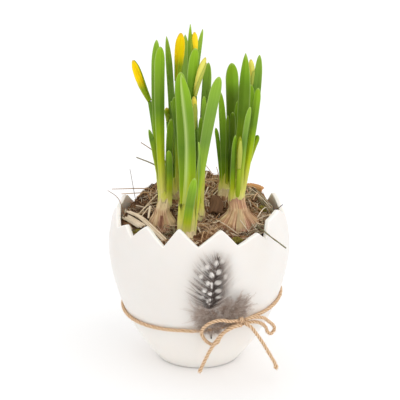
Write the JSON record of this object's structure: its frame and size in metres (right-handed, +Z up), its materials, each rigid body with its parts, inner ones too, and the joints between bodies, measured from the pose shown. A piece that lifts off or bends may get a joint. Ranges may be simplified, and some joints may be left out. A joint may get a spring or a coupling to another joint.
{
  "type": "potted daffodil",
  "caption": "Dwarf daffodils in bud with their bulbs in straw mulch, in a white eggshell pot with a broken rim, tied with a jute bow and a spotted feather.",
  "frame": {"origin": "centre of the pot's flat base, on the surface that it stands on", "axes": "+Z up along the pot's axis, -Y towards the front with the bow and the feather, +X to the right seen from the front"},
  "size_m": [0.1321, 0.1358, 0.2446],
  "materials": {
    "ceramic": "satin",
    "mulch": "matte",
    "straw": "matte",
    "bark": "matte",
    "moss": "matte",
    "bulb": "satin",
    "leaf": "satin",
    "petal": "satin",
    "twine": "matte",
    "feather": "matte",
    "down": "matte"
  },
  "bodies": {
    "root": {"pot": "ceramic", "mulch": "mulch", "reed_flat": "straw", "reed_split": "straw", "reed_back": "straw", "dry_stalk": "straw", "bark_orange": "bark", "bark_brown": "bark", "moss_right": "moss", "moss_front": "moss", "moss_left": "moss", "bulb_left": "bulb", "bulb_back": "bulb", "bulb_front": "bulb", "bulb_middle": "bulb", "bulb_right": "bulb", "bulb_right_back": "bulb", "shoot_left": "leaf", "shoot_back": "leaf", "shoot_front": "leaf", "shoot_middle": "leaf", "shoot_right": "leaf", "shoot_right_back": "leaf", "bud_left": "petal", "bud_tall": "petal", "bud_middle": "petal", "bud_spathe": "petal", "bud_right": "petal", "bud_small_back": "petal", "bud_small_front": "petal", "bud_small_right": "petal", "twine_band": "twine", "twine_knot": "twine", "bow_loop_left": "twine", "bow_loop_right": "twine", "bow_tail_left": "twine", "bow_tail_right": "twine", "feather_spotted": "feather", "feather_down": "down"}
  },
  "joints": []
}
